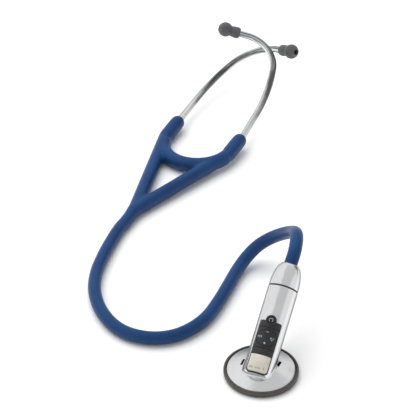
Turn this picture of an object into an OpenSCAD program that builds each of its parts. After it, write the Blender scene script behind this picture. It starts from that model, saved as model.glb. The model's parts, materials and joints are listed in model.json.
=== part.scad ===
// Electronic stethoscope lying on a table, headset crossed, hose in a loose loop.
// Units are millimetres. Z is up, the diaphragm's face is the origin and the
// headset points along +Y.

/* [Chestpiece] */
// Diameter of the silver head
head_d = 51.4; // [44:0.2:60]
// Outer diameter of the rubber rim ring
rim_d = 55; // [48:0.5:64]
// Diameter of the barrel
barrel_d = 22.4; // [18:0.2:28]
// Height of the barrel's axis above the table, over the head's centre
barrel_z = 11.4; // [9:0.2:16]
// Angle of the barrel above the table
barrel_rise = 35; // [20:1:50]
// Turn of the barrel about the vertical
barrel_turn = 7; // [-20:1:20]
// Distance along the axis from the head's centre to the dome cap's seam
seam_s = 56.2; // [50:0.2:64]
// Length of the dome cap
dome_l = 19; // [12:0.5:26]
// Wall thickness of the housing
wall = 1.5; // [1:0.1:2.5]

/* [Keypad] */
// Turn of the keypad panel about the barrel's axis
panel_turn = 6; // [-10:1:20]
// Width of the panel
panel_w = 16; // [12:0.2:18]
// Place of the power button along the axis
power_s = 28.7; // [24:0.1:34]
// Diameter of the power button
power_d = 5; // [4:0.1:7]
// Place of the four-way pad along the axis
pad_s = 15.4; // [12:0.1:20]
// Width of the four-way pad
pad_w = 14.8; // [10:0.2:16]
// Height of the four-way pad
pad_h = 12.4; // [10:0.2:14]

/* [Hose and yoke] */
// Diameter of the hose
hose_d = 10; // [8:0.5:12]
// Diameter of the yoke's arms
arm_d = 11; // [9:0.5:13]
// Diameter of the sleeves that hold the ear tubes
sleeve_d = 12; // [10:0.5:15]
// Bore of the rubber tubing
bore_d = 4; // [3:0.5:5]

/* [Headset] */
// Outer diameter of the ear tubes
tube_d = 5.6; // [4.5:0.1:7]
// Wall thickness of the ear tubes
tube_wall = 0.7; // [0.4:0.1:1.2]
// Angle of the main bend of the ear tubes
bend = 91; // [70:1:110]
// Radius of the main bend
bend_r = 27.7; // [20:0.1:40]
// Diameter of the eartip's ball
eartip_d = 12.6; // [10:0.2:15]
// Length of the eartip
eartip_l = 19.2; // [15:0.2:24]

/* [Hidden] */
$fn = 64;
e = 0.01;
rb = barrel_d / 2;
ri = rb - wall;
panel_t = 0.9;
seat_r = rb - 0.8;
panel_r = seat_r + panel_t;
axis_dir = [
    -sin(barrel_turn) * cos(barrel_rise),
    cos(barrel_turn) * cos(barrel_rise),
    sin(barrel_rise)
];
hose_r = hose_d / 2;
arm_r = arm_d / 2;
sleeve_r = sleeve_d / 2;
bore_r = bore_d / 2;
tube_r = tube_d / 2;
cup_gap = 0.3;
fork = [-175.2, 124.5, 6.1];
stub_end = [-174.5, 108, 5.3];
pivot_l = [-202.5, 224.5, 6.2];
pivot_r = [-143, 223.5, 8.5];
start_l = [-202.75, 252.6, 9];
start_r = [-143.45, 251.3, 9.9];
first_l = 33.9;
first_r = 25.5;
last_l = 7.1;
last_r = 6.4;
slow_r = 177.6;
slow_a = 16;
bridge_c = [-171.6, 227, 7.3];
bridge_r = 29.1;
bridge_bar = [5.8, 6];
bridge_tilt = 2.2;
hose_exit = [0, 0, barrel_z] + (seam_s + 0.6 + dome_l) * axis_dir;

// The hose's own route from the yoke to the dome cap.
hose_route = [
    stub_end,
    [-174.3, 98, 5.3],
    [-172, 82, 5.3],
    [-168, 62, 5.3],
    [-162, 41, 5.3],
    [-152.5, 22, 5.3],
    [-138.5, 5.5, 5.3],
    [-123, -5.5, 5.3],
    [-108, -10.5, 5.3],
    [-94, -9.7, 5.3],
    [-81.5, -4.5, 5.3],
    [-71.5, 5, 5.3],
    [-65, 18.5, 5.3],
    [-62, 34, 5.3],
    [-62.7, 53, 5.3],
    [-65, 73, 5.3],
    [-67.5, 93, 5.5],
    [-66.5, 108.5, 9.2],
    [-60.5, 118, 16.7],
    [-48, 120.8, 27.6],
    [-30.5, 110.8, 44],
    [-16.5, 90, 60],
    hose_exit + 12 * axis_dir,
    hose_exit + 0.3 * axis_dir
];

// ---- Helpers ----

function unit(v) = v / norm(v);

// A point of a smooth curve through p1 and p2, with neighbours p0 and p3.
function blend(p0, p1, p2, p3, t) =
    0.5 * (2 * p1 + (p2 - p0) * t + (2 * p0 - 5 * p1 + 4 * p2 - p3) * t * t
        + (3 * p1 - p0 - 3 * p2 + p3) * t * t * t);

function smooth_route(r, k) = [
    for (i = [0 : len(r) - 2], j = [0 : k - 1])
        blend(
            i == 0 ? 2 * r[0] - r[1] : r[i - 1],
            r[i],
            r[i + 1],
            i == len(r) - 2 ? 2 * r[i + 1] - r[i] : r[i + 2],
            j / k
        ),
    r[len(r) - 1]
];

function heading(p, i) = unit(p[min(i + 1, len(p) - 1)] - p[max(i - 1, 0)]);

function ring(p, i, r, n) =
    let (
        t = heading(p, i),
        s = unit(cross(t, [0, 0, 1])),
        u = cross(s, t)
    )
    [for (k = [0 : n - 1]) p[i] + r * (cos(k * 360 / n) * s + sin(k * 360 / n) * u)];

// A closed bar swept along the points p, with n sides.
module swept(p, r, n) {
    last = (len(p) - 1) * n;
    polyhedron(
        points = [for (i = [0 : len(p) - 1], q = ring(p, i, r, n)) q],
        faces = concat(
            [[for (k = [0 : n - 1]) n - 1 - k]],
            [[for (k = [0 : n - 1]) last + k]],
            [
                for (i = [0 : len(p) - 2], k = [0 : n - 1])
                    [i * n + k, i * n + (k + 1) % n, (i + 1) * n + (k + 1) % n, (i + 1) * n + k]
            ]
        ),
        convexity = 10
    );
}

// The same with a bore of radius r0, open at both ends.
module swept_tube(p, r, r0, n) {
    m = len(p);
    wall_faces = [
        for (i = [0 : m - 2], k = [0 : n - 1])
            [i * n + k, i * n + (k + 1) % n, (i + 1) * n + (k + 1) % n, (i + 1) * n + k]
    ];
    polyhedron(
        points = concat(
            [for (i = [0 : m - 1], q = ring(p, i, r, n)) q],
            [for (i = [0 : m - 1], q = ring(p, i, r0, n)) q]
        ),
        faces = concat(
            wall_faces,
            [for (f = wall_faces) [f[3] + m * n, f[2] + m * n, f[1] + m * n, f[0] + m * n]],
            [for (k = [0 : n - 1]) [m * n + k, m * n + (k + 1) % n, (k + 1) % n, k]],
            [
                for (k = [0 : n - 1])
                    [(m - 1) * n + k, (m - 1) * n + (k + 1) % n, (2 * m - 1) * n + (k + 1) % n, (2 * m - 1) * n + k]
            ]
        ),
        convexity = 10
    );
}

// A round bar from a to b.
module rod(a, b, r1, r2) {
    v = b - a;
    translate(a)
        rotate([0, acos(v[2] / norm(v)), atan2(v[1], v[0])])
            cylinder(h = norm(v), r1 = r1, r2 = r2);
}

// Puts Z along the barrel, with the panel's side at -Y.
module at_barrel() {
    translate([0, 0, barrel_z])
        rotate([0, 0, barrel_turn])
            rotate([barrel_rise - 90, 0, 0])
                children();
}

module at_panel() {
    at_barrel()
        rotate([0, 0, panel_turn])
            children();
}

// Puts Z along the panel's outward direction at the place s, and Y up the barrel.
module at_face(s) {
    at_panel()
        translate([0, 0, s])
            rotate([90, 0, 0])
                children();
}

// A piece of a ring around the barrel's axis, centred on the panel's side.
module ring_piece(r0, r1, s0, s1, half) {
    at_panel()
        rotate([0, 0, -90 - half])
            rotate_extrude(angle = 2 * half)
                translate([r0, s0])
                    square([r1 - r0, s1 - s0]);
}

// A flat shape with round corners, r0 at its low end and r1 at its high end.
module plate(w, y0, y1, r0, r1, extra) {
    x0 = w / 2 - r0;
    x1 = w / 2 - r1;
    translate([-w / 2 - extra, y0 + r0])
        square([w + 2 * extra, y1 - y0 - r0 - r1]);
    translate([-x0, y0 - extra])
        square([2 * x0, r0 + extra + e]);
    translate([-x1, y1 - r1 - e])
        square([2 * x1, r1 + extra + e]);
    for (side = [-1, 1]) {
        translate([side * x0, y0 + r0])
            circle(r = r0 + extra);
        translate([side * x1, y1 - r1])
            circle(r = r1 + extra);
    }
}

// The part of a ring around the barrel that lies under the panel's outline.
module panel_block(r0, r1, extra) {
    intersection() {
        ring_piece(r0, r1, -14, 32, 60);
        at_face(0)
            linear_extrude(rb + 5)
                plate(panel_w, -11.8, power_s - 0.5, 3.2, 1, extra);
    }
}

module window_block(r0, r1, extra) {
    intersection() {
        ring_piece(r0, r1, -14, 5, 60);
        at_face(0)
            linear_extrude(rb + 5)
                plate(15, -10.6, 2.3, 2.6, 0.4, extra);
    }
}

module pad_outline(extra) {
    scale([(pad_w / 2 + extra) / 10, (pad_h / 2 + extra) / 10, 1])
        circle(r = 10);
}

// ---- Head and barrel ----

module head_solid() {
    rotate_extrude()
        polygon([
            [0, 1.35], [head_d / 2, 1.35], [head_d / 2, 4.8],
            [19, 7.3], [12, 9.6], [0, 9.6]
        ]);
}

module head_cavity() {
    rotate_extrude()
        polygon([
            [0, 1.3], [head_d / 2 - wall, 1.3], [head_d / 2 - wall, 3.9],
            [18.6, 5.8], [11.7, 8.1], [0, 8.1]
        ]);
}

module housing() {
    color([0.8, 0.81, 0.83])
    difference() {
        union() {
            head_solid();
            at_barrel()
                translate([0, 0, -12.5])
                    cylinder(h = seam_s + 12.5 - 0.6, r = rb);
        }
        at_barrel()
            translate([0, 0, -11])
                cylinder(h = seam_s + 12, r = ri);
        head_cavity();
        translate([0, 0, -20])
            cylinder(h = 21.35, r = 40);
        panel_block(seat_r, rb + 3, 0.1);
        window_block(ri - 1, rb, 0.05);
        at_face(power_s)
            cylinder(h = rb + 5, r = 4.1);
        at_face(pad_s)
            linear_extrude(rb + 5)
                pad_outline(0.4);
        for (side = [-1, 1])
            rotate([0, 0, barrel_turn])
                translate([side * 13.4, -2.5, 10.4])
                    cube([1.8, 6.4, 8], center = true);
    }
}

module rim_ring() {
    color([0.2, 0.19, 0.18])
    rotate_extrude()
        polygon([
            [23.8, 0.3], [rim_d / 2 - 0.9, 0.3], [rim_d / 2 - 0.2, 1.2], [rim_d / 2, 2.2],
            [rim_d / 2, 4.2], [rim_d / 2 - 0.5, 4.9], [head_d / 2, 5.1], [head_d / 2, 1.35],
            [25.05, 1.35], [25.05, 0.9], [23.8, 0.9]
        ]);
}

module diaphragm() {
    color([0.86, 0.88, 0.88])
    rotate_extrude()
        polygon([
            [0, 0], [21.8, 0], [23, 0.9], [25, 0.9], [25, 1.35],
            [22.7, 1.35], [21.5, 0.45], [0, 0.45]
        ]);
}

module sensor_foam() {
    color([0.3, 0.3, 0.32])
    translate([0, 0, 0.45])
        cylinder(h = 0.95, r = 6);
}

module sensor_disc() {
    color([0.8, 0.66, 0.3])
    translate([0, 0, 1.4])
        cylinder(h = 0.5, r = 9);
}

module head_base() {
    color([0.12, 0.12, 0.13])
    difference() {
        translate([0, 0, 1.9])
            cylinder(h = 1.5, r = head_d / 2 - wall);
        translate([14, -12, 1])
            cylinder(h = 4, r = 1.5);
    }
}

// ---- Panel and keys ----

module keypad_panel() {
    color([0.09, 0.09, 0.1])
    difference() {
        union() {
            panel_block(seat_r, panel_r, 0);
            at_face(power_s)
                translate([0, 0, seat_r - 0.9])
                    cylinder(h = 2.7, r = 4);
        }
        at_face(power_s)
            cylinder(h = rb + 5, r = power_d / 2 + 0.15);
        at_face(pad_s)
            linear_extrude(rb + 5)
                pad_outline(0.35);
        window_block(seat_r - 1, panel_r + 1, 0.05);
        ring_piece(panel_r - 0.4, panel_r + 1, 7.3, 7.8, 50);
        ring_piece(panel_r - 0.4, panel_r + 1, 22.9, 23.4, 50);
    }
}

module power_button() {
    color([0.12, 0.12, 0.13])
    at_face(power_s)
        translate([0, 0, 8.2])
            cylinder(h = 4.1, r = power_d / 2);
}

module keypad_pad() {
    color([0.1, 0.1, 0.11])
    intersection() {
        at_face(pad_s)
            linear_extrude(rb + 5)
                pad_outline(0);
        ring_piece(9.95, panel_r + 0.3, pad_s - 8, pad_s + 8, 60);
    }
}

module keypad_gimbal() {
    color([0.7, 0.7, 0.72])
    at_face(pad_s)
        translate([0, 0, 9])
            sphere(r = 0.9);
}

module keypad_post() {
    color([0.85, 0.85, 0.83])
    at_face(pad_s)
        translate([0, 0, 4.3])
            cylinder(h = 3.7, r = 1.2);
}

module display_window() {
    color([0.8, 0.8, 0.72])
    window_block(seat_r - 0.3, panel_r, 0);
}

module display_module() {
    color([0.62, 0.65, 0.55])
    at_face(0)
        translate([-6.2, -9.8, 4.3])
            cube([12.4, 11.8, 2.9]);
}

// ---- Inside the barrel ----

module circuit_board() {
    color([0.1, 0.35, 0.2])
    union() {
        at_face(0)
            translate([-8, -9.5, 3.1])
                cube([16, 52, 1.2]);
        at_face(power_s)
            translate([-1.8, -1.8, 4.2])
                cube([3.6, 3.6, 3]);
        at_face(33)
            translate([-4, 0, 4.2])
                cube([8, 6, 1.4]);
    }
}

module battery() {
    color([0.25, 0.4, 0.3])
    at_panel()
        translate([0, 2.5, -1]) {
            cylinder(h = 43.7, r = 5.25);
            cylinder(h = 44.5, r = 1.9);
        }
}

module battery_spring() {
    color([0.75, 0.75, 0.77])
    at_panel()
        translate([0, 2.5, -3.2])
            cylinder(h = 2.2, r1 = 3.2, r2 = 2);
}

module battery_plate() {
    color([0.8, 0.7, 0.4])
    at_panel()
        translate([-3, 0, 43.5])
            cube([6, 6, 0.5]);
}

module speaker() {
    color([0.15, 0.15, 0.16])
    at_barrel()
        translate([0, 0, 45])
            difference() {
                cylinder(h = 3.4, r = 8.5);
                translate([0, 0, 2.6])
                    cylinder(h = 2, r = 5);
            }
}

module swivel_collar() {
    color([0.1, 0.1, 0.1])
    at_barrel()
        difference() {
            translate([0, 0, 45])
                cylinder(h = seam_s - 45.6, r = ri);
            translate([0, 0, 44])
                cylinder(h = 7, r = 8.5);
            translate([0, 0, 50])
                cylinder(h = 10, r = 4.56);
        }
}

module seam_gasket() {
    color([0.05, 0.05, 0.05])
    at_barrel()
        translate([0, 0, seam_s - 0.6])
            difference() {
                cylinder(h = 0.7, r = rb - 0.5);
                translate([0, 0, -1])
                    cylinder(h = 3, r = 6.5);
            }
}

// ---- Dome cap ----

module swivel_stem() {
    color([0.7, 0.71, 0.73])
    at_barrel()
        difference() {
            union() {
                translate([0, 0, 49])
                    cylinder(h = 17, r = 4.5);
                translate([0, 0, 49])
                    cylinder(h = 1.7, r = 6);
            }
            translate([0, 0, 40])
                cylinder(h = 40, r = bore_r);
        }
}

module dome_cap() {
    color([0.8, 0.81, 0.83])
    at_barrel()
        translate([0, 0, seam_s + 0.6])
            difference() {
                rotate_extrude()
                    polygon(concat(
                        [[0, 0], [rb - 0.2, 0]],
                        [
                            for (a = [0 : 7.5 : 82.5])
                                [hose_r + 0.2 + (rb - hose_r - 0.2) * cos(a), 0.6 + (dome_l - 0.6) * sin(a)]
                        ],
                        [[hose_r + 0.1, dome_l], [0, dome_l]]
                    ));
                translate([0, 0, -1])
                    cylinder(h = 40, r = bore_r);
                translate([0, 0, -1])
                    cylinder(h = 66 - seam_s + 0.4, r = 4.5);
            }
}

// ---- Hose and yoke ----

module hose() {
    color([0.13, 0.24, 0.5])
    swept(smooth_route(hose_route, 3), hose_r, 10);
}

// The leaf spring's strip, which reaches from z0 to z1 of the bridge's height.
module bridge_strip(z0, z1) {
    translate(bridge_c)
        rotate([0, -bridge_tilt, 0])
            rotate([0, 0, 224])
                rotate_extrude(angle = 92)
                    translate([bridge_r - 0.4, z0])
                        square([0.8, z1 - z0]);
}

module yoke_body() {
    color([0.13, 0.24, 0.5])
    difference() {
        union() {
            rod(fork, pivot_l, arm_r, arm_r);
            rod(fork, pivot_r, arm_r, arm_r);
            translate(fork)
                sphere(r = arm_r + 0.45);
            rod(stub_end, fork, hose_r, arm_r + 0.2);
            translate(bridge_c)
                rotate([0, -bridge_tilt, 0])
                    rotate([0, 0, 194])
                        rotate_extrude(angle = 152)
                            translate([bridge_r, 0])
                                scale(bridge_bar)
                                    circle(r = 1);
        }
        translate(pivot_l)
            sphere(r = sleeve_r + cup_gap);
        translate(pivot_r)
            sphere(r = sleeve_r + cup_gap);
        rod(fork, pivot_l, bore_r, bore_r);
        rod(fork, pivot_r, bore_r, bore_r);
        rod(stub_end - [0, 2, 0], fork, bore_r, bore_r);
        bridge_strip(-arm_r, 3);
    }
}

module binaural_spring() {
    color([0.6, 0.62, 0.65])
    bridge_strip(-3, 3);
}

// ---- Headset ----

// Puts Y along the ear tube where it leaves the sleeve, and X towards its bend.
module at_tube(left) {
    translate(left ? start_l : start_r)
        rotate([0, 0, left ? 1 : 1.1])
            rotate([left ? 4.3 : 14, 0, 0])
                rotate([0, left ? -20.5 : 22.5, 0])
                    mirror([left ? 0 : 1, 0, 0])
                        children();
}

// Follows a bend of radius r through the angle a, from a straight of length l.
module after(l, r, a) {
    translate([r, l, 0])
        rotate([0, 0, -a])
            translate([-r, 0, 0])
                children();
}

module straight(l, r) {
    rotate([-90, 0, 0])
        cylinder(h = l, r = r);
}

// Points of a bend of radius r through the angle a1 - a0, which starts at q.
function bend_points(q, r, a0, a1, k) =
    let (c = q + r * [cos(a0), -sin(a0), 0])
    [for (i = [0 : k]) let (a = a0 + (a1 - a0) * i / k) c - r * [cos(a), -sin(a), 0]];

function tube_points(left) =
    let (
        slow = bend_points([0, left ? first_l : first_r, 0], slow_r, 0, slow_a, 4),
        q = slow[4] + 3 * [sin(slow_a), cos(slow_a), 0],
        main = bend_points(q, bend_r, slow_a, slow_a + bend, 14)
    )
    concat(
        [[0, -12, 0]],
        slow,
        main,
        [main[14] + ((left ? last_l : last_r) + 8) * [sin(slow_a + bend), cos(slow_a + bend), 0]]
    );

module ear_tube(left) {
    color([0.78, 0.79, 0.81])
    at_tube(left)
        swept_tube(tube_points(left), tube_r, tube_r - tube_wall, 16);
}

module ear_tube_left() {
    ear_tube(true);
}

module ear_tube_right() {
    ear_tube(false);
}

module sleeve(left) {
    pivot = left ? pivot_l : pivot_r;
    start = left ? start_l : start_r;
    way = unit(start - pivot);
    color([0.13, 0.24, 0.5])
    difference() {
        union() {
            translate(pivot)
                sphere(r = sleeve_r);
            rod(pivot, start - 6.6 * way, sleeve_r - 0.1, sleeve_r - 0.1);
            translate(start - 6.6 * way)
                sphere(r = sleeve_r);
        }
        at_tube(left)
            translate([0, -12, 0])
                straight(30, tube_r);
        rod(pivot, start - 11 * way, bore_r - 0.2, bore_r - 0.2);
        rod(pivot, pivot + 10 * unit(fork - pivot), bore_r, bore_r);
    }
}

module yoke_sleeve_left() {
    sleeve(true);
}

module yoke_sleeve_right() {
    sleeve(false);
}

module eartip(left) {
    c = 13;
    br = eartip_d / 2;
    color([0.55, 0.55, 0.56])
    at_tube(left)
        after(left ? first_l : first_r, slow_r, slow_a)
            after(3, bend_r, bend)
                translate([0, left ? last_l : last_r, 0])
                    rotate([-90, 0, 0])
                        rotate_extrude()
                            polygon(concat(
                                [[tube_r + 0.05, 0], [3.9, 0], [4.7, 0.7], [5, 2.4], [4.9, 4.6], [4.5, 6.6], [4.4, 7.6]],
                                [for (a = [-50 : 10 : 60]) [br * cos(a) + 0.1, c + br * sin(a)]],
                                [[2.6, eartip_l], [2.1, eartip_l - 1], [2.1, 8.2], [tube_r + 0.05, 8.2]]
                            ));
}

module eartip_left() {
    eartip(true);
}

module eartip_right() {
    eartip(false);
}

housing();
rim_ring();
diaphragm();
sensor_foam();
sensor_disc();
head_base();
keypad_panel();
power_button();
keypad_pad();
keypad_gimbal();
keypad_post();
display_window();
display_module();
circuit_board();
battery();
battery_spring();
battery_plate();
speaker();
swivel_collar();
seam_gasket();
swivel_stem();
dome_cap();
hose();
yoke_body();
binaural_spring();
yoke_sleeve_left();
yoke_sleeve_right();
ear_tube_left();
ear_tube_right();
eartip_left();
eartip_right();
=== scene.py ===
"""Electronic stethoscope: the visible pieces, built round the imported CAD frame, in metres."""

import json
import math

import bmesh
import bpy
from mathutils import Matrix, Vector


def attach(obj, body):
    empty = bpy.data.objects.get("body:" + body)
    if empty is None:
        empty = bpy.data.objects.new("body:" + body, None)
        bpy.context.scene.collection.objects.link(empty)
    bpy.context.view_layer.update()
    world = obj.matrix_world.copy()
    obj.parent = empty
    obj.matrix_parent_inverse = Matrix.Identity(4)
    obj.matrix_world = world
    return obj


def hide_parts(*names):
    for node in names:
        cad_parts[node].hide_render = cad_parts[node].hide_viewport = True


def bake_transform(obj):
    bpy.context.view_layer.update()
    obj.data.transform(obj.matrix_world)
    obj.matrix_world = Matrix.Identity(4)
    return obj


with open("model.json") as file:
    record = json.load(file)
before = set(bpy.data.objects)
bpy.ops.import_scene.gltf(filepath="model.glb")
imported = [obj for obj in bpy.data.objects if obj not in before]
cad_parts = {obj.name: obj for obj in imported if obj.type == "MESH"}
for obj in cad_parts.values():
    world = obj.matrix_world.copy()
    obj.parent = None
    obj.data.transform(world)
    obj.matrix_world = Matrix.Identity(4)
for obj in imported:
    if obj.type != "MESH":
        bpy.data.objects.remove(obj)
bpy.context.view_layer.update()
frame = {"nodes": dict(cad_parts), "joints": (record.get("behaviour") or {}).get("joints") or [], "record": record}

MM = 0.001
joints = {joint["name"]: joint for joint in frame["joints"]}


def joint_place(name):
    return Vector(joints[name]["pos_m"])


def joint_axis(name):
    return Vector(joints[name]["axis"]).normalized()


# ---- Camera ----

camera_data = bpy.data.cameras.new("camera")
camera_data.lens = 180
camera_data.sensor_width = 36
camera_data.clip_end = 20
camera = bpy.data.objects.new("camera", camera_data)
camera.location = (0.5052, -1.0421, 1.002)
camera.rotation_euler = (math.radians(53.57), 0, math.radians(27.7))
bpy.context.scene.collection.objects.link(camera)
bpy.context.scene.camera = camera
bpy.context.scene.view_settings.view_transform = "Standard"

# ---- Places and sizes ----

HOSE_R = 5 * MM
ARM_R = 5.5 * MM
SLEEVE_R = 6 * MM
TUBE_R = 2.8 * MM
BARREL_R = 11.2 * MM
SEAM_S = 56.2 * MM
DOME_L = 19 * MM
POWER_S = 28.7 * MM
PAD_S = 15.4 * MM
PAD_HALF = (7.4, 6.2)
PAD_TOP = 11.6
KNEE_BACK = 1.5 * MM  # how far under the knee its sleeve starts

barrel_axis = joint_axis("head_turns_in_dome")
barrel_foot = joint_place("head_turns_in_dome")
panel_out = -joint_axis("power_button_press")
hose_exit = barrel_foot + (SEAM_S + 0.6 * MM + DOME_L) * barrel_axis
stub_end = Vector((-174.5, 108, 5.3)) * MM
fork = Vector((-175.2, 124.5, 6.1)) * MM
pivots = {"left": joint_place("left_ear_tube_opens"), "right": joint_place("right_ear_tube_opens")}
tube_starts = {"left": Vector((-202.75, 252.6, 9)) * MM, "right": Vector((-143.45, 251.3, 9.9)) * MM}
bridge_centre = Vector((-171.6, 227, 7.3)) * MM
BRIDGE_R = 29.1 * MM


def facing(place, z_way, x_way):
    """The transform that puts Z along z_way and X close to x_way, at place."""
    z = z_way.normalized()
    x = (x_way - x_way.dot(z) * z).normalized()
    turned = Matrix((x, z.cross(x), z)).transposed().to_4x4()
    turned.translation = place
    return turned


def moved(x, y, z):
    return Matrix.Translation((x, y, z))


def turned(angle, axis):
    return Matrix.Rotation(math.radians(angle), 4, axis)


# Z up the barrel, and the keypad on the -Y side
at_panel = facing(barrel_foot, barrel_axis, barrel_axis.cross(panel_out))


def at_face(height):
    """Z out of the keypad and Y up the barrel, with the origin on the barrel's axis."""
    return at_panel @ moved(0, 0, height) @ turned(90, "X")


# ---- Shader maths ----


class Wire:
    """A socket that can be used in Python expressions."""

    def __init__(self, sheet, socket):
        self.sheet = sheet
        self.socket = socket

    def maths(self, operation, *values):
        return self.sheet.node("ShaderNodeMath", {"operation": operation}, dict(enumerate(values)))

    def __add__(self, other):
        return self.maths("ADD", self, other)

    def __sub__(self, other):
        return self.maths("SUBTRACT", self, other)

    def __rsub__(self, other):
        return self.maths("SUBTRACT", other, self)

    def __mul__(self, other):
        return self.maths("MULTIPLY", self, other)

    def __abs__(self):
        return self.maths("ABSOLUTE", self)

    __radd__ = __add__
    __rmul__ = __mul__

    def least(self, other):
        return self.maths("MINIMUM", self, other)

    def most(self, other):
        return self.maths("MAXIMUM", self, other)

    def rise(self, low, high):
        """0 under low and 1 over high, with a smooth step between; low may be the larger."""
        return self.sheet.node(
            "ShaderNodeMapRange",
            {"interpolation_type": "SMOOTHSTEP"},
            {"Value": self, "From Min": low, "From Max": high},
        )


class Sheet:
    """A material or a world, and the nodes that make it."""

    def __init__(self, owner, **values):
        self.owner = owner
        owner.use_nodes = True
        self.tree = owner.node_tree
        kind = "BACKGROUND" if isinstance(owner, bpy.types.World) else "BSDF_PRINCIPLED"
        self.shader = next(n for n in self.tree.nodes if n.type == kind)
        self.finish(**values)

    def node(self, kind, settings, inputs, output=0):
        made = self.tree.nodes.new(kind)
        for key, value in settings.items():
            if key == "stops":
                ramp = made.color_ramp
                while len(ramp.elements) < len(value):
                    ramp.elements.new(0.5)
                for element, (place, colour) in zip(ramp.elements, value):
                    element.position = place
                    element.color = (*colour, 1)
            else:
                setattr(made, key, value)
        for key, value in inputs.items():
            socket = made.inputs[key]
            if isinstance(value, Wire):
                self.tree.links.new(value.socket, socket)
            else:
                socket.default_value = (*value, 1) if socket.type == "RGBA" else value
        return Wire(self, made.outputs[output])

    def finish(self, **values):
        """Sets sockets of the shader itself, whose names are written with underscores."""
        for key, value in values.items():
            socket = self.shader.inputs[key.replace("_", " ")]
            if isinstance(value, Wire):
                self.tree.links.new(value.socket, socket)
            else:
                socket.default_value = (*value, 1) if socket.type == "RGBA" else value

    def place(self, source="Object", centre=(0, 0, 0), angles=(0, 0, 0), scale=(1, 1, 1)):
        """Coordinates that are moved to centre, turned by angles and divided by scale."""
        if source == "unrolled":
            start = self.node("ShaderNodeAttribute", {"attribute_name": "unrolled"}, {}, "Vector")
        else:
            start = self.node("ShaderNodeTexCoord", {}, {}, source)
        return self.node(
            "ShaderNodeMapping",
            {"vector_type": "TEXTURE"},
            {"Vector": start, "Location": centre, "Rotation": angles, "Scale": scale},
        )

    def parts(self, vector):
        return [self.node("ShaderNodeSeparateXYZ", {}, {0: vector}, k) for k in range(3)]

    def noise(self, where, scale, detail=3, roughness=0.5):
        settings = {"Vector": where, "Scale": scale, "Detail": detail, "Roughness": roughness}
        return self.node("ShaderNodeTexNoise", {}, settings)

    def ramp(self, factor, *stops):
        return self.node("ShaderNodeValToRGB", {"stops": stops}, {0: factor})

    def mixed(self, factor, a, b):
        return self.node("ShaderNodeMix", {"data_type": "RGBA"}, {0: factor, 6: a, 7: b}, 2)

    def bump(self, height, distance, strength=1.0):
        """Relief of this height; distance is how far a height of 1 stands out."""
        settings = {"Strength": strength, "Distance": distance, "Height": height}
        self.finish(Normal=self.node("ShaderNodeBump", {}, settings))


def material(name, **values):
    return Sheet(bpy.data.materials.new(name), **values)


def moulded(name, dark, light, rough, grain=2200, depth=0.00002, **values):
    """A moulded plastic or rubber: slow clouds, a fine grain and a few scuffs."""
    s = material(name, **values)
    where = s.place()
    cloud = s.noise(where, 130)
    fine = s.noise(where, grain, 3, 0.6)
    drag = s.place(scale=(1, 0.25, 1), angles=(0.4, 0.2, 0.7))
    scuff = s.noise(drag, 420, 5, 0.7).rise(0.62, 0.74)
    shade = cloud * 0.6 + fine * 0.4
    s.finish(
        Base_Color=s.ramp(shade + scuff * 0.12, (0.36, dark), (0.64, light)),
        Roughness=(rough - 0.06) + cloud * 0.1 + scuff * 0.08,
    )
    s.bump(fine + scuff * 0.3, depth)
    return s.owner


def blue_rubber():
    s = material("hose_rubber", IOR=1.32, Specular_IOR_Level=0.5)
    where = s.place()
    cloud = s.noise(where, 45)
    mottle = s.noise(where, 420, 4, 0.6)
    fine = s.noise(where, 3200, 2, 0.6)
    dust = s.noise(where, 1500, 2, 0.8).rise(0.70, 0.80)
    shade = cloud * 0.6 + mottle * 0.4
    body = s.ramp(shade, (0.35, (0.0042, 0.035, 0.121)), (0.65, (0.0074, 0.049, 0.160)))
    s.finish(
        Base_Color=s.mixed(dust * 0.12, body, (0.05, 0.09, 0.2)),
        Roughness=0.34 + cloud * 0.1 + mottle * 0.08 + dust * 0.1,
    )
    s.bump(mottle * 0.5 + fine * 0.5, 0.00004)
    return s.owner


def polished_steel():
    s = material("tube_steel", Metallic=1.0, Specular_Tint=(0.35, 0.35, 0.36))
    where = s.place()
    cloud = s.noise(where, 120)
    drawn = s.noise(s.place("unrolled", scale=(0.00025, 0.00025, 0.03)), 1, 4, 0.6)
    # Lengthwise dark and bright bands are painted into the steel's colour: a painted reflection, laid over the
    # real reflections of the studio
    painted_reflection_streak = s.noise(s.place("unrolled", scale=(0.0019, 0.0019, 0.055)), 1, 2, 0.5)
    mark = s.noise(s.place("unrolled", scale=(0.0006, 0.0006, 0.0012)), 1, 5, 0.8).rise(0.66, 0.76)
    s.finish(
        Base_Color=s.ramp(
            painted_reflection_streak + cloud * 0.1,
            (0.44, (0.15, 0.152, 0.155)), (0.58, (0.66, 0.665, 0.67)), (0.70, (0.88, 0.885, 0.89)),
        ),
        Roughness=0.04 + cloud * 0.05 + drawn * 0.05 + mark * 0.12,
    )
    s.bump(drawn, 0.0000012)
    return s.owner


def silver_paint():
    s = material("silver", Metallic=0.9, Specular_Tint=(0.0, 0.0, 0.0), Coat_Roughness=0.05)
    where = s.place()
    flake = s.noise(where, 6200, 2, 0.7)
    cloud = s.noise(where, 70)
    worn = s.noise(where, 900, 5, 0.75).rise(0.66, 0.78)
    s.finish(
        Base_Color=s.ramp(
            flake + cloud * 0.2, (0.45, (0.80, 0.805, 0.815)), (0.72, (0.88, 0.882, 0.89))
        ),
        Roughness=0.16 + cloud * 0.05 + flake * 0.05 + worn * 0.1,
        Coat_Weight=0.05 + cloud * 0.1,
    )
    s.bump(flake + worn * 0.4, 0.000002)
    return s.owner


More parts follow.
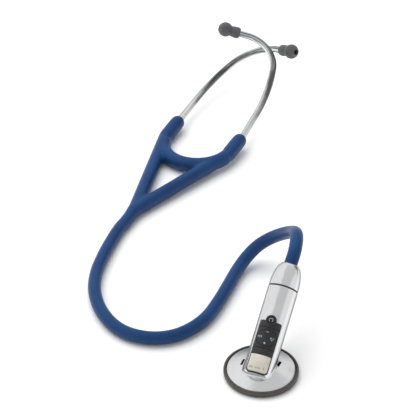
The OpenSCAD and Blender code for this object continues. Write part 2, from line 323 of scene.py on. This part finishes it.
def display_glass():
    """A pale display behind clear plastic, with faint segments that mean nothing."""
    s = material("window", Coat_Weight=0.7, Coat_Roughness=0.03, Roughness=0.35)
    euler = at_panel.to_euler()
    u, _, v = s.parts(s.place(centre=barrel_foot, angles=tuple(euler), scale=(MM, MM, MM)))
    ink = None
    for x, y, wide, high in (
        (-1.4, -3.6, 0.7, 0.12), (1.5, -3.6, 0.7, 0.12),
        (-4.9, -7.7, 1.5, 0.75), (-1.4, -7.7, 0.5, 0.6), (0.2, -7.7, 0.5, 0.6), (1.8, -7.7, 0.5, 0.6),
        (4.6, -6.9, 0.3, 0.9),
    ):
        bar = abs(u - x).rise(wide + 0.12, wide).least(abs(v - y).rise(high + 0.12, high))
        ink = bar if ink is None else ink.most(bar)
    grid = abs(s.noise(s.place(scale=(0.0002, 0.0002, 0.0002)), 1, 1) - 0.5)
    where = s.place()
    cloud = s.noise(where, 160)
    # Painted shade: the u * 0.02 term makes the display darker towards one side
    ground = s.ramp(cloud + u * 0.02, (0.3, (0.56, 0.53, 0.45)), (0.7, (0.66, 0.63, 0.55)))
    s.finish(
        Base_Color=s.mixed(ink * 0.45 + grid * 0.1, ground, (0.16, 0.155, 0.13)),
        Roughness=0.30 + cloud * 0.1,
    )
    s.bump(cloud + ink * 0.2, 0.00001)
    return s.owner


def open_foam():
    s = material("foam")
    cells = s.node("ShaderNodeTexVoronoi", {}, {"Vector": s.place(), "Scale": 1400}, "Distance")
    s.finish(
        Base_Color=s.ramp(cells, (0.1, (0.03, 0.03, 0.035)), (0.6, (0.13, 0.13, 0.14))),
        Roughness=0.85 + cells * 0.1,
    )
    s.bump(cells, 0.0003)
    return s.owner


def metal(name, dark, light, rough):
    """A plain machined or plated metal with fine turning marks."""
    s = material(name, Metallic=1.0)
    lines = s.noise(s.place(scale=(0.004, 0.0003, 0.004)), 1, 4, 0.7)
    cloud = s.noise(s.place(), 200)
    s.finish(Base_Color=s.ramp(cloud, (0.3, dark), (0.7, light)), Roughness=rough + lines * 0.15)
    s.bump(lines, 0.00001)
    return s.owner


materials = {
    "hose_rubber": blue_rubber(),
    "tube_steel": polished_steel(),
    "silver": silver_paint(),
    "window": display_glass(),
    "foam": open_foam(),
    "rim_rubber": moulded("rim_rubber", (0.040, 0.036, 0.034), (0.070, 0.063, 0.060), 0.42, 2600),
    "panel_black": moulded("panel_black", (0.014, 0.014, 0.015), (0.024, 0.024, 0.026), 0.33, 3400, 0.00001),
    "key_black": moulded("key_black", (0.010, 0.010, 0.011), (0.018, 0.018, 0.020), 0.26, 3000, 0.00001),
    "pad_rubber": moulded("pad_rubber", (0.012, 0.012, 0.013), (0.021, 0.021, 0.023), 0.42, 3200, 0.00002),
    "eartip_grey": moulded("eartip_grey", (0.062, 0.062, 0.070), (0.100, 0.100, 0.110), 0.44, 1500, 0.00005),
    "membrane": moulded("membrane", (0.66, 0.68, 0.68), (0.76, 0.78, 0.78), 0.22, 1200, 0.00001, Coat_Weight=0.3),
    "black_plastic": moulded("black_plastic", (0.012, 0.012, 0.012), (0.026, 0.026, 0.026), 0.5),
    "white_plastic": moulded("white_plastic", (0.68, 0.68, 0.66), (0.78, 0.78, 0.76), 0.45),
    "lcd": moulded("lcd", (0.30, 0.32, 0.26), (0.38, 0.40, 0.33), 0.25),
    "board": moulded("board", (0.008, 0.085, 0.035), (0.02, 0.15, 0.07), 0.35, 900),
    "cell": moulded("cell", (0.02, 0.09, 0.05), (0.05, 0.15, 0.09), 0.3, 700),
    "brass": metal("brass", (0.55, 0.40, 0.15), (0.72, 0.56, 0.25), 0.25),
    "steel": metal("steel", (0.48, 0.48, 0.50), (0.64, 0.64, 0.66), 0.22),
}
pale_print = moulded("pale_print", (0.50, 0.50, 0.52), (0.66, 0.66, 0.68), 0.5)

for part in frame["record"]["subparts"]:
    mesh = frame["nodes"][part["node"]].data
    mesh.materials.clear()
    mesh.materials.append(materials[part["material_slot"]])

# ---- Shaping tools ----


def piece(name, shape, slot, body=None, replaces=(), finishes=None, angle=38):
    """Makes an object of a shape, which rides on a body and takes a material slot's finish."""
    bmesh.ops.recalc_face_normals(shape, faces=shape.faces)
    mesh = bpy.data.meshes.new(name)
    shape.to_mesh(mesh)
    shape.free()
    for finish in finishes or [materials[slot]]:
        mesh.materials.append(finish)
    mesh.shade_smooth()
    mesh.set_sharp_from_angle(angle=math.radians(angle))
    made = bpy.data.objects.new(name, mesh)
    bpy.context.scene.collection.objects.link(made)
    if body:
        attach(made, body)
    if replaces:
        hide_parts(*replaces)
    return made


def joined(*shapes):
    whole = bmesh.new()
    for shape in shapes:
        mesh = bpy.data.meshes.new("work")
        shape.to_mesh(mesh)
        shape.free()
        whole.from_mesh(mesh)
        bpy.data.meshes.remove(mesh)
    return whole


def work_object(shape, finish=None):
    mesh = bpy.data.meshes.new("work")
    shape.to_mesh(mesh)
    shape.free()
    if finish:
        mesh.materials.append(finish)
    made = bpy.data.objects.new("work", mesh)
    bpy.context.scene.collection.objects.link(made)
    return made


def modified(shape, kind, finish=None, **settings):
    """The shape after one modifier."""
    made = work_object(shape, finish)
    step = made.modifiers.new("step", kind)
    for key, value in settings.items():
        setattr(step, key, value)
    result = bmesh.new()
    after = bpy.data.meshes.new_from_object(made.evaluated_get(bpy.context.evaluated_depsgraph_get()))
    result.from_mesh(after)
    bpy.data.meshes.remove(after)
    bpy.data.objects.remove(made)
    return result


def carved(shape, cutter, finish=None, cutter_finish=None):
    """The shape less the cutter, whose faces bring its own finish."""
    tool = work_object(cutter, cutter_finish)
    result = modified(
        shape, "BOOLEAN", finish,
        object=tool, operation="DIFFERENCE", solver="EXACT", material_mode="TRANSFER",
    )
    bpy.data.objects.remove(tool)
    return result


def outline(*corners, steps=5):
    """A profile in millimetres; a corner (r, z, cut) is cut back and curved."""
    points = []
    for k, (r, z, *cut) in enumerate(corners):
        here = Vector((r, z)) * MM
        if not cut:
            points.append(here)
            continue
        before = Vector(corners[k - 1][:2]) * MM
        after = Vector(corners[(k + 1) % len(corners)][:2]) * MM
        a = here + (before - here).normalized() * cut[0] * MM
        b = here + (after - here).normalized() * cut[0] * MM
        for t in (i / steps for i in range(steps + 1)):
            points.append(a * (1 - t) ** 2 + here * (2 * t * (1 - t)) + b * t**2)
    return points


def turned_shape(profile, place=Matrix.Identity(4), steps=96):
    """Turns a profile of (radius, height) points round Z. One that starts off the axis is closed."""
    shape = bmesh.new()
    points = [shape.verts.new((r, 0, z)) for r, z in profile]
    lines = [shape.edges.new(pair) for pair in zip(points, points[1:])]
    if profile[0][0] > 1e-6:
        lines.append(shape.edges.new((points[-1], points[0])))
    bmesh.ops.spin(
        shape, geom=points + lines, cent=(0, 0, 0), axis=(0, 0, 1),
        angle=math.tau, steps=steps, use_merge=True,
    )
    bmesh.ops.remove_doubles(shape, verts=shape.verts, dist=1e-6)
    bmesh.ops.recalc_face_normals(shape, faces=shape.faces)
    bmesh.ops.transform(shape, matrix=place, verts=shape.verts)
    return shape


def frames_along(points):
    """A frame at each point with Z along the path, which twists as little as it can."""
    x = (points[1] - points[0]).orthogonal()
    for k, point in enumerate(points):
        z = points[min(k + 1, len(points) - 1)] - points[max(k - 1, 0)]
        here = facing(point, z, x)
        x = here.to_3x3().col[0]
        yield here


def swept(points, radii, sides=24):
    """A closed bar along the points, which keeps where each point would be if it were straight."""
    if not isinstance(radii, list):
        radii = [radii] * len(points)
    shape = bmesh.new()
    unrolled = shape.verts.layers.float_vector.new("unrolled")
    bmesh.ops.create_circle(shape, cap_ends=True, radius=1, segments=sides)
    for v in shape.verts:
        v[unrolled] = v.co
    loop, rim = list(shape.verts), list(shape.edges)
    travelled = 0
    for k, (here, r) in enumerate(zip(frames_along(points), radii)):
        if k:
            travelled += (points[k] - points[k - 1]).length
            grown = bmesh.ops.extrude_edge_only(shape, edges=rim)["geom"]
            loop = [g for g in grown if isinstance(g, bmesh.types.BMVert)]
            members = set(loop)
            rim = [g for g in grown if isinstance(g, bmesh.types.BMEdge) and members.issuperset(g.verts)]
        for v in loop:
            x, y, _ = v[unrolled]
            x, y = (x, y) if not k else (x / radii[k - 1], y / radii[k - 1])
            v.co = here @ Vector((x * r, y * r, 0))
            v[unrolled] = (x * r, y * r, travelled)
    bmesh.ops.contextual_create(shape, geom=rim)
    bmesh.ops.recalc_face_normals(shape, faces=shape.faces)
    return shape


def block(x0, x1, y0, y1, z0, z1, low=0, high=0):
    """A box in millimetres whose upright edges are rounded by low at y0 and by high at y1."""
    shape = bmesh.new()
    size = Matrix.Diagonal(((x1 - x0) * MM, (y1 - y0) * MM, (z1 - z0) * MM, 1))
    centre = moved((x0 + x1) / 2 * MM, (y0 + y1) / 2 * MM, (z0 + z1) / 2 * MM)
    bmesh.ops.create_cube(shape, size=1, matrix=centre @ size)
    for y, cut in ((y0, low), (y1, high)):
        if cut:
            upright = [
                e for e in shape.edges
                if all(abs(v.co.y - y * MM) < 1e-7 for v in e.verts)
                and abs(e.verts[0].co.z - e.verts[1].co.z) > 1e-7
            ]
            bmesh.ops.bevel(
                shape, geom=upright, offset=cut * MM, segments=8, profile=0.5, affect="EDGES", material=-1
            )
    return shape


def softened_top(shape, height, cut, segments=3):
    """Rounds the outline of the face that lies at this height, in millimetres."""
    top = [
        e for e in shape.edges
        if all(abs(v.co.z - height * MM) < 1e-7 for v in e.verts) and e.calc_face_angle(0) > 1
    ]
    bmesh.ops.bevel(
        shape, geom=top, offset=cut * MM, segments=segments, profile=0.5, affect="EDGES", material=-1
    )
    return shape


def wrapped(shape, height=0):
    """Bends flat work round the barrel; its Z is the distance from the barrel's axis."""
    for k in range(-19, 20):
        bmesh.ops.bisect_plane(
            shape, geom=[*shape.verts, *shape.edges, *shape.faces], dist=1e-7,
            plane_co=(k * 0.45 * MM, 0, 0), plane_no=(1, 0, 0),
        )
    for v in shape.verts:
        x, y, r = v.co
        v.co = at_panel @ Vector((x, -math.sqrt(r * r - x * x), y + height))
    return shape


# ---- Hose ----

HOSE_ROUTE = [
    stub_end,
    (-0.1743, 0.098, 0.0053),
    (-0.172, 0.082, 0.0053),
    (-0.168, 0.062, 0.0053),
    (-0.162, 0.041, 0.0053),
    (-0.1525, 0.022, 0.0053),
    (-0.1385, 0.0055, 0.0053),
    (-0.123, -0.0055, 0.0053),
    (-0.108, -0.0105, 0.0053),
    (-0.094, -0.0097, 0.0053),
    (-0.0815, -0.0045, 0.0053),
    (-0.0715, 0.005, 0.0053),
    (-0.065, 0.0185, 0.0053),
    (-0.062, 0.034, 0.0053),
    (-0.0627, 0.053, 0.0053),
    (-0.065, 0.073, 0.0053),
    (-0.0675, 0.093, 0.0055),
    (-0.0665, 0.1085, 0.0092),
    (-0.0605, 0.118, 0.0167),
    (-0.048, 0.1208, 0.0276),
    (-0.0305, 0.1108, 0.044),
    (-0.0165, 0.09, 0.06),
    hose_exit + 12 * MM * barrel_axis,
    hose_exit + 0.3 * MM * barrel_axis,
]


def smooth_route(route, steps):
    """Points of a smooth curve through the route, as the CAD sweeps it."""
    p = [Vector(q) for q in route]
    p = [2 * p[0] - p[1], *p, 2 * p[-1] - p[-2]]
    points = []
    for a, b, c, d in zip(p, p[1:], p[2:], p[3:]):
        for t in (k / steps for k in range(steps)):
            bend = (2 * a - 5 * b + 4 * c - d) * t**2 + (3 * b - a - 3 * c + d) * t**3
            points.append((2 * b + (c - a) * t + bend) / 2)
    return [*points, p[-2]]


hose_points = smooth_route(HOSE_ROUTE, 8)
into_dome = hose_exit - 1.5 * MM * barrel_axis
into_stub = stub_end + 1.5 * MM * (stub_end - hose_points[1]).normalized()
hose = piece(
    "hose_tubing", swept([into_stub, *hose_points, into_dome], HOSE_R, 36), "hose_rubber", "headset", ["hose"]
)
round(sum((b - a).length for a, b in zip(hose_points, hose_points[1:])), 3)

# ---- Fork, bridge and sleeves: one rubber moulding ----

SWELL = 0.24 * MM  # what the smoothing takes off again


def between(a, b, count):
    return [a.lerp(b, k / count) for k in range(count + 1)]


def arm_bar(side):
    """An arm with its sleeve, whose end is round."""
    pivot, start = pivots[side], tube_starts[side]
    way = (start - pivot).normalized()
    end = start - 0.6 * MM * way
    up = between(fork, pivot, 12)
    points = up + [pivot.lerp(end, k / 10) for k in range(1, 8)]
    radii = [ARM_R] * len(up) + [SLEEVE_R] * 7
    for back, r in ((5.5, 5.95), (3.8, 5.75), (2.4, 5.35), (1.2, 4.7), (0.5, 4.0), (0.05, 3.0)):
        points.append(end - back * MM * way)
        radii.append(r * MM)
    return swept(points, [r + SWELL for r in radii], 28)


stub_way = (fork - stub_end).normalized()
stub_bar = swept(
    [stub_end - 9 * MM * stub_way, stub_end, *between(stub_end, fork, 6)[1:]],
    [HOSE_R + SWELL] * 2 + [HOSE_R + SWELL + 0.7 * MM * k / 6 for k in range(1, 7)], 28,
)
ball = bmesh.new()
bmesh.ops.create_icosphere(ball, subdivisions=3, radius=ARM_R + 0.6 * MM, matrix=Matrix.Translation(fork))
tilt = turned(-2.2, "Y").to_3x3()
bridge_bar = bmesh.new()
bmesh.ops.create_circle(
    bridge_bar, cap_ends=True, radius=1, segments=28,
    matrix=turned(90, "X") @ Matrix.Diagonal((5.8 * MM + SWELL, 6 * MM + SWELL, 1, 1)),
)
bmesh.ops.translate(bridge_bar, verts=bridge_bar.verts, vec=(BRIDGE_R, 0, 0))
bmesh.ops.rotate(bridge_bar, verts=bridge_bar.verts, cent=(0, 0, 0), matrix=turned(194, "Z"))
bmesh.ops.spin(
    bridge_bar, geom=[*bridge_bar.verts, *bridge_bar.edges, *bridge_bar.faces],
    cent=(0, 0, 0), axis=(0, 0, 1), angle=math.radians(152), steps=40,
)
bmesh.ops.recalc_face_normals(bridge_bar, faces=bridge_bar.faces)
bmesh.ops.transform(
    bridge_bar, matrix=Matrix.Translation(bridge_centre) @ tilt.to_4x4(), verts=bridge_bar.verts
)

moulding = modified(
    joined(arm_bar("left"), arm_bar("right"), stub_bar, ball, bridge_bar),
    "REMESH", mode="VOXEL", voxel_size=0.9 * MM,
)
for _ in range(12):
    bmesh.ops.smooth_vert(
        moulding, verts=moulding.verts, factor=0.5, use_axis_x=True, use_axis_y=True, use_axis_z=True
    )
moulding = modified(moulding, "SUBSURF", levels=1, render_levels=1)
for v in moulding.verts:
    out = v.co - stub_end
    reach = out.dot(stub_way)
    if reach < 14 * MM:
        out -= reach * stub_way
        keep = max(0, reach / (14 * MM)) ** 2
        v.co += out * (1 - keep) * ((HOSE_R + 0.02 * MM) / out.length - 1)


def cut_off(shape, place, way, side=None):
    """Cuts away what lies beyond a plane, on one side of the yoke or both, and closes the cut."""
    hand = {"left": -1, "right": 1, None: 0}[side]
    verts = {v for v in shape.verts if (v.co.x - bridge_centre.x) * hand >= 0}
    lines = [e for e in shape.edges if verts.issuperset(e.verts)]
    faces = [f for f in shape.faces if verts.issuperset(f.verts)]
    cut = bmesh.ops.bisect_plane(
        shape, geom=[*verts, *lines, *faces], dist=1e-6, plane_co=place, plane_no=way, clear_outer=True
    )
    bmesh.ops.edgeloop_fill(shape, edges=[g for g in cut["geom_cut"] if isinstance(g, bmesh.types.BMEdge)])
    return shape


def knee_way(side):
    return (tube_starts[side] - pivots[side]).normalized()


middle = moulding.copy()
cut_off(middle, stub_end, -stub_way)
for side in ("left", "right"):
    cut_off(middle, pivots[side] - KNEE_BACK * knee_way(side), knee_way(side), side)
piece("fork_moulding", middle, "hose_rubber", "headset", ["yoke_body"], angle=60)
for side in ("left", "right"):
    skin = moulding.copy()
    cut_off(skin, pivots[side] - KNEE_BACK * knee_way(side), -knee_way(side))
    other = pivots["right" if side == "left" else "left"]
    stray = [v for v in skin.verts if (v.co - other).length < (v.co - pivots[side]).length]
    bmesh.ops.delete(skin, geom=stray, context="VERTS")
    sleeve = piece(f"{side}_sleeve_moulding", skin, "hose_rubber", None, [f"yoke_sleeve_{side}"], angle=60)
    pivots[side] - KNEE_BACK * knee_way(side)
    pivots[side] + 8 * MM * knee_way(side)
    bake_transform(sleeve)
moulding.free()

# ---- Ear tubes and eartips ----

TUBE_PLACES = {
    "left": (1, 4.3, -20.5, 1, 33.9, 7.1),
    "right": (1.1, 14, 22.5, -1, 25.5, 6.4),
}
SLOW_R, BEND_R, SLOW, BEND = 177.6, 27.7, 16, 91


def bend_points(start, radius, angle0, angle1, steps):
    """Points of an arc in the XY plane that starts at start, heading at angle0 from Y towards X."""
    points = []
    for k in range(steps + 1):
        a0, a = math.radians(angle0), math.radians(angle0 + (angle1 - angle0) * k / steps)
        points.append(start + radius * Vector((math.cos(a0) - math.cos(a), math.sin(a) - math.sin(a0), 0)))
    return points


for side, (yaw, pitch, roll, hand, first, last) in TUBE_PLACES.items():
    place = Matrix.Translation(tube_starts[side]) @ turned(yaw, "Z") @ turned(pitch, "X") @ turned(roll, "Y")
    place = place @ Matrix.Diagonal((hand * MM, MM, MM, 1))
    slow = bend_points(Vector((0, first, 0)), SLOW_R, 0, SLOW, 16)
    a, b = math.radians(SLOW), math.radians(SLOW + BEND)
    main = bend_points(slow[-1] + 3 * Vector((math.sin(a), math.cos(a), 0)), BEND_R, SLOW, SLOW + BEND, 40)
    out = Vector((math.sin(b), math.cos(b), 0))
    route = between(Vector((0, -11.5, 0)), slow[0], 8)[:-1] + slow + main + [main[-1] + last / 2 * out]
    route.append(main[-1] + (last + 7.6) * out)
    piece(
        f"{side}_ear_tube", swept([place @ p for p in route], TUBE_R, 32), "tube_steel", f"{side}_binaural",
        [f"ear_tube_{side}"],
    )
    tip_way = joint_axis(f"{side}_eartip_turns")
    ball = [
        (6.3 * math.cos(math.radians(a)), 13 + 6.3 * math.sin(math.radians(a))) for a in range(-47, 64, 6)
    ]
    tip = outline(
        (2.85, 0.3, 0.3), (3.9, 0.0, 0.9), (4.9, 1.2, 1.1), (5.05, 4.2, 1.6), (4.55, 7.4, 1.2),
        *ball, (2.5, 19.2, 0.5), (2.1, 18.2), (2.1, 8.2), (2.85, 8.0),
    )
    on_tube = facing(joint_place(f"{side}_eartip_turns"), tip_way, Vector((0, 0, 1)))
    piece(
        f"{side}_eartip_soft", turned_shape(tip, on_tube, 64), "eartip_grey",
        f"{side}_eartip", [f"eartip_{side}"],
    )

# ---- Head: rim ring, diaphragm and housing ----

piece(
    "soft_rim",
    turned_shape(outline(
        (23.8, 0.3, 0.15), (26.7, 0.3, 0.5), (27.5, 1.6, 0.8), (27.5, 4.4, 0.5), (27.0, 5.0, 0.25),
        (25.75, 5.15, 0.15), (25.7, 1.35), (25.05, 1.35), (25.05, 0.9), (23.8, 0.9),
    ), steps=160),
    "rim_rubber", "chestpiece", ["rim_ring"],
)
piece(
    "tuned_membrane",
    turned_shape(outline(
        (0, 0), (21.6, 0, 0.5), (22.4, 0.5, 0.4), (23, 0.9, 0.2), (25, 0.9), (25, 1.35), (22.7, 1.35),
        (21.5, 0.45), (0, 0.45),
    ), steps=160),
    "membrane", "chestpiece", ["diaphragm"],
)

dish = turned_shape(outline(
    (0, 1.35), (25.7, 1.35), (25.7, 4.75, 0.5), (19, 7.3, 4), (12, 9.6), (0, 9.6), steps=10
), steps=128)
barrel = turned_shape(
    outline((0, -12.4), (11.2, -12.4, 1.6), (11.2, 54), (0, 54)),
    facing(barrel_foot, barrel_axis, Vector((1, 0, 0))), 96,
)
body = modified(joined(dish, barrel), "REMESH", mode="VOXEL", voxel_size=0.45 * MM)
for _ in range(26):
    bmesh.ops.smooth_vert(body, verts=body.verts, factor=0.5, use_axis_x=True, use_axis_y=True, use_axis_z=True)


def trued(off):
    """How much of a small error off is taken out: all of it up to 0.1 mm and none from 0.35 mm."""
    t = min(1, max(0, (0.35 * MM - abs(off)) / (0.25 * MM)))
    return off * t * t * (3 - 2 * t)


for v in body.verts:
    reach = (v.co - barrel_foot).dot(barrel_axis)
    out = v.co - barrel_foot - reach * barrel_axis
    if reach > -8 * MM and out.length > 9 * MM:
        v.co += out.normalized() * trued(BARREL_R - out.length)
    r = math.hypot(v.co.x, v.co.y)
    if v.co.z > 4 * MM and 12 * MM < r < 24.6 * MM:
        t = min(1, max(0, (r / MM - 15) / 8))
        fall = 0.329 + (0.373 - 0.329) * t * t * (3 - 2 * t)
        v.co.z += trued(7.3 * MM + (19 * MM - r) * fall - v.co.z)
# Black plastic for the carved slot and recess walls: painted shade that makes the shallow slots look deep
dark = materials["black_plastic"]
body = carved(
    body, turned_shape([Vector(p) * MM for p in ((0, 50), (14, 50), (14, 60), (0, 60))],
                       facing(barrel_foot, barrel_axis, Vector((1, 0, 0))), 96),
    materials["silver"], materials["silver"],
)
top_ring = turned_shape(
    outline((0, 49.9), (11.2, 49.9), (11.2, 55.6, 0.25), (0, 55.6)),
    facing(barrel_foot, barrel_axis, Vector((1, 0, 0))), 160,
)
recess = wrapped(block(-8.1, 8.1, -11.9, 28.3, 10.35, 13, 3.3, 1.1))
for x, y in ((-13.4, -2.5), (12.2, 4.6)):
    slot = block(x - 0.9, x + 0.9, y - 3.2, y + 3.2, 6.4, 14)
    bmesh.ops.transform(slot, matrix=turned(7, "Z"), verts=slot.verts)
    recess = joined(recess, slot)
bmesh.ops.recalc_face_normals(recess, faces=recess.faces)
# The cutter's faces bring the black, so the slots and recess walls carry painted shade
body = carved(body, recess, materials["silver"], dark)
piece(
    "silver_housing", joined(body, top_ring), "silver", "chestpiece", ["housing"],
    [materials["silver"], dark],
)

# ---- Dome cap ----

dome = [
    (5.2 + 5.85 * math.cos(math.radians(a)), 0.9 + 18 * math.sin(math.radians(a))) for a in range(0, 85, 4)
]
piece(
    "dome_cap_shell",
    turned_shape(
        outline((0, 0), (11.05, 0, 0.25), *dome, (5.35, 19.0, 0.25), (5.04, 18.8), (5.04, 16), (0, 16)),
        facing(barrel_foot + (SEAM_S + 0.6 * MM) * barrel_axis, barrel_axis, Vector((1, 0, 0))), 160,
    ),
    "silver", "headset", ["dome_cap"],
)

# ---- Keypad ----

window_cut = block(-7.55, 7.55, -10.65, 2.35, 9, 13, 2.65, 0.45)
low_plate = carved(block(-8, 8, -11.8, 7.3, 10.4, 11.3, 3.2, 0), window_cut)
pad_cut = bmesh.new()
bmesh.ops.create_circle(
    pad_cut, cap_ends=True, radius=1, segments=72,
    matrix=moved(0, PAD_S, 9 * MM) @ Matrix.Diagonal((7.65 * MM, 6.45 * MM, 1, 1)),
)
raised = bmesh.ops.extrude_face_region(pad_cut, geom=pad_cut.faces[:])["geom"]
bmesh.ops.translate(pad_cut, verts=[g for g in raised if isinstance(g, bmesh.types.BMVert)], vec=(0, 0, 4 * MM))
bmesh.ops.recalc_face_normals(pad_cut, faces=pad_cut.faces)
middle_plate = carved(block(-8, 8, 7.8, 22.9, 10.4, 11.3), pad_cut)
high_plate = block(-8, 8, 23.4, 28.2, 10.4, 11.3, 0, 1)
floor_plate = block(-8, 8, 2.5, 28.2, 10.36, 10.6, 0, 1)
plates = joined(
    softened_top(low_plate, 11.3, 0.16), softened_top(middle_plate, 11.3, 0.16),
    softened_top(high_plate, 11.3, 0.16), floor_plate,
)
piece("keypad_plates", wrapped(plates), "panel_black", "chestpiece", ["keypad_panel"])
piece(
    "power_ring",
    turned_shape(outline(
        (2.68, 9.6), (2.68, 12.05, 0.12), (3.1, 12.2, 0.2), (3.75, 12.2, 0.22), (4.0, 11.85, 0.15),
        (4.05, 9.6),
    ), at_face(POWER_S), 72),
    "panel_black", "chestpiece",
)
piece(
    "power_key",
    turned_shape(
        outline((0, 8.2), (2.5, 8.2), (2.5, 12.25, 0.35), (1.9, 12.28, 0.3), (0, 12.1)), at_face(POWER_S), 64
    ),
    "key_black", "power_key", ["power_button"],
)

pad = bmesh.new()
bmesh.ops.create_circle(
    pad, cap_ends=True, radius=1, segments=72,
    matrix=moved(0, PAD_S, 10 * MM) @ Matrix.Diagonal((PAD_HALF[0] * MM, PAD_HALF[1] * MM, 1, 1)),
)
raised = bmesh.ops.extrude_face_region(pad, geom=pad.faces[:])["geom"]
bmesh.ops.translate(pad, verts=[g for g in raised if isinstance(g, bmesh.types.BMVert)], vec=(0, 0, 1.6 * MM))
bmesh.ops.recalc_face_normals(pad, faces=pad.faces)
softened_top(pad, PAD_TOP, 0.35, 4)
top = max(pad.faces, key=lambda f: f.calc_center_median().z)
for k in range(6):
    bmesh.ops.inset_individual(pad, faces=[top], thickness=0.8 * MM)
    bmesh.ops.translate(pad, verts=top.verts, vec=(0, 0, -0.045 * MM))
piece("direction_pad", wrapped(pad), "pad_rubber", "pad", ["keypad_pad"])
piece(
    "display_glass",
    wrapped(softened_top(block(-7.5, 7.5, -10.6, 2.3, 10.1, 11.24, 2.6, 0.4), 11.24, 0.2)),
    "window", "chestpiece", ["display_window"],
)

# ---- Printed marks ----


def stroke(points, width=0.17):
    """A flat rounded line of paint; points are across and up the barrel, in millimetres."""
    lifted = [Vector((x, y, 0)) * MM for x, y in points]
    shape = swept(lifted, width * MM, 8)
    for v in shape.verts:
        v.co.z = v.co.z * 0.25
    return shape


def on_pad(*shapes, height=PAD_S):
    """Lays marks on the dished pad."""
    whole = joined(*shapes)
    for v in whole.verts:
        x, y, z = v.co
        rim = min(1, math.hypot(x / PAD_HALF[0], y / PAD_HALF[1]) / MM)
        r = (PAD_TOP - 0.27 * (1 - rim) * 1.15 + 0.02) * MM + z
        v.co = at_panel @ Vector((x, -math.sqrt(r * r - x * x), y + height))
    return whole


triangle = [(-1.3, 0.9), (1.3, 0.9), (0, -1.2), (-1.3, 0.9), (-1.0, 0.9)]
wave = [(-1.6, -0.6), (-0.9, 0.9), (-0.1, -0.9), (0.7, 0.9), (1.4, -0.6)]
piece(
    "pad_marks",
    on_pad(
        stroke([(-0.9, 4.3), (0.9, 4.3)]),
        stroke([(x - 4.7, y + 0.2) for x, y in wave], 0.2),
        stroke([(x + 4.4, y - 0.1) for x, y in triangle], 0.18),
        stroke([(-0.75, -4.2), (0.75, -4.2)], 0.22),
        stroke([(0, -4.9), (0, -3.5)], 0.22),
    ),
    "white_plastic", "pad", finishes=[pale_print],
)
arc = [
    at_face(POWER_S) @ Vector((1.35 * MM * math.cos(a), 1.35 * MM * math.sin(a), 12.2 * MM))
    for a in (math.radians(-40 + 260 * k / 20) for k in range(21))
]
piece("power_mark", swept(arc, 0.16 * MM, 8), "white_plastic", "power_key", finishes=[pale_print])

# ---- Floor, world and light ----

ground = bmesh.new()
bmesh.ops.create_grid(ground, x_segments=2, y_segments=2, size=4)
floor_mesh = bpy.data.meshes.new("floor")
ground.to_mesh(floor_mesh)
ground.free()
floor = bpy.data.objects.new("floor", floor_mesh)
bpy.context.scene.collection.objects.link(floor)
paper = material("floor_paper", Roughness=0.95, Specular_IOR_Level=0.1)
paper.finish(
    Base_Color=paper.ramp(paper.noise(paper.place(), 3), (0.3, (0.93, 0.93, 0.93)), (0.7, (0.95, 0.95, 0.95)))
)
floor_mesh.materials.append(paper.owner)

# Long soft boxes with a greyer gap overhead, a dark card at the back and a dim horizon there
studio = Sheet(bpy.data.worlds.new("studio"))
bpy.context.scene.world = studio.owner
x, y, z = studio.parts(studio.place("Generated"))
across = x * 0.927 + y * 0.285 - z * 0.242 - y.most(0) * 0.3
gap = across.rise(-0.50, -0.45).least(across.rise(0.62, 0.57)).least(y.rise(0.68, 0.55))
behind = y.rise(0.6, 0.85).least(z.rise(0.30, 0.05))
card = y.rise(0.45, 0.55).least(x.rise(0.10, 0.16)).least(x.rise(0.62, 0.52))
card = card.least(z.rise(0.02, 0.1)).least(z.rise(0.64, 0.5))
glow = 0.15 + z.rise(-0.3, 0.02) * (0.67 - gap * 0.26 - behind * 0.55 - card * 0.60)
studio.finish(Color=studio.ramp(glow, (0.0, (0, 0, 0)), (1.0, (1.0, 1.0, 1.0))), Strength=1.0)


def soft_light(name, place, size, power):
    data = bpy.data.lights.new(name, "AREA")
    data.size = size
    data.energy = power
    lamp = bpy.data.objects.new(name, data)
    middle = Vector((-0.09, 0.14, 0))
    lamp.location = middle + Vector(place)
    lamp.rotation_euler = Vector(place).to_track_quat("Z", "Y").to_euler()
    lamp.visible_glossy = False
    bpy.context.scene.collection.objects.link(lamp)


soft_light("key", (-0.6, 0.3, 1.2), 1.7, 21)
